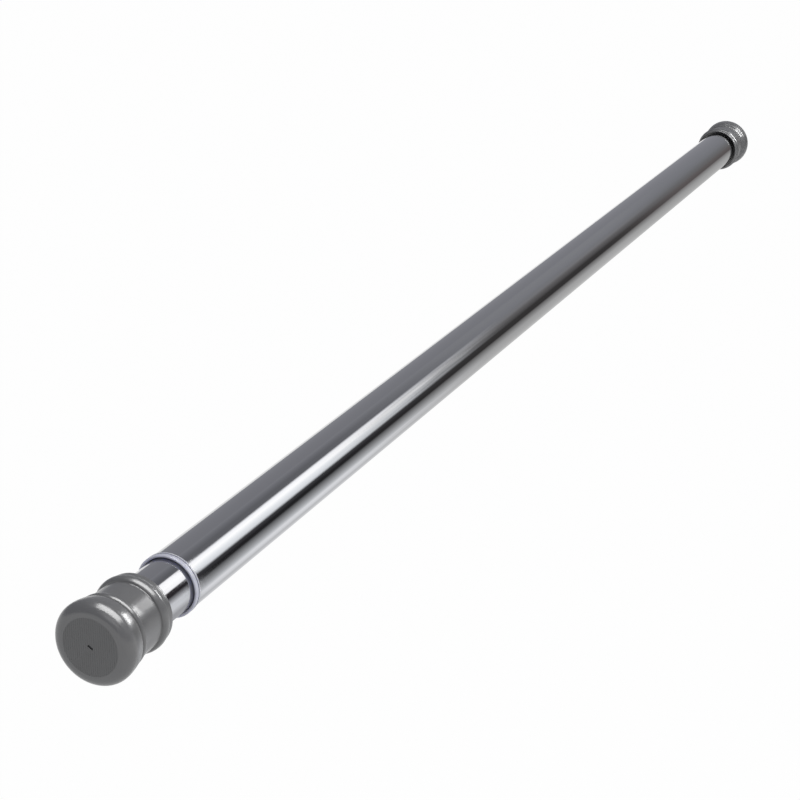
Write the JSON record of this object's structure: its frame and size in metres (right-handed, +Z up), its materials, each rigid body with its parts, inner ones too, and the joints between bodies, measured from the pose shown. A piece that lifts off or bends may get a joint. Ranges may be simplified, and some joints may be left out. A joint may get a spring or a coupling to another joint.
{
  "type": "pull up bar",
  "caption": "Telescopic doorway pull up bar: turning the chromed grip tube between two swivelling rubber feet drives a screw that lengthens the bar.",
  "frame": {"origin": "centre of the near foot's face, on the bar's axis", "axes": "+X along the bar from the near foot to the far foot, +Z up"},
  "size_m": [1, 0.037, 0.037],
  "materials": {
    "foot_moulding": "satin moulded grey synthetic rubber",
    "chrome_tube": "polished chrome plate on drawn steel tube",
    "collar_plastic": "moulded bluish white plastic",
    "nylon": "natural nylon, turned or moulded",
    "zinc_steel": "zinc plated steel",
    "spindle_steel": "rolled thread steel bar, oiled",
    "nut_iron": "machined cast iron nut"
  },
  "bodies": {
    "near_end": {"near_foot": "foot_moulding", "near_pressure_plate": "zinc_steel", "inner_tube": "chrome_tube", "inner_tube_plug": "nylon", "drive_nut": "nut_iron", "nut_pins": "zinc_steel", "guide_ring": "nylon"},
    "far_end": {"far_foot": "foot_moulding", "far_pressure_plate": "zinc_steel", "thrust_washer": "nylon", "swivel_bush": "nylon"},
    "grip": {"grip_tube": "chrome_tube", "mouth_collar": "collar_plastic", "end_plug": "nut_iron", "plug_pins": "zinc_steel", "spindle": "spindle_steel", "spindle_pin": "zinc_steel", "spindle_supports": "nylon", "stop_washer": "zinc_steel", "stop_guide": "nylon", "stop_nut": "zinc_steel", "clip_washer": "zinc_steel", "retaining_clip": "zinc_steel"}
  },
  "joints": [
    {"name": "bar_extension", "type": "slide", "parent": "near_end", "child": "far_end", "axis": [1, 0, 0], "range_m": [-0.015, 0.3]},
    {"name": "grip_turn", "type": "hinge", "parent": "far_end", "child": "grip", "pos_m": [0.5, 0, 0], "axis": [1, 0, 0], "range_deg": [-900, 18000]}
  ],
  "couplings": [
    {"joint": "bar_extension", "follows": "grip_turn", "m_per_rad": 0.00095493}
  ]
}
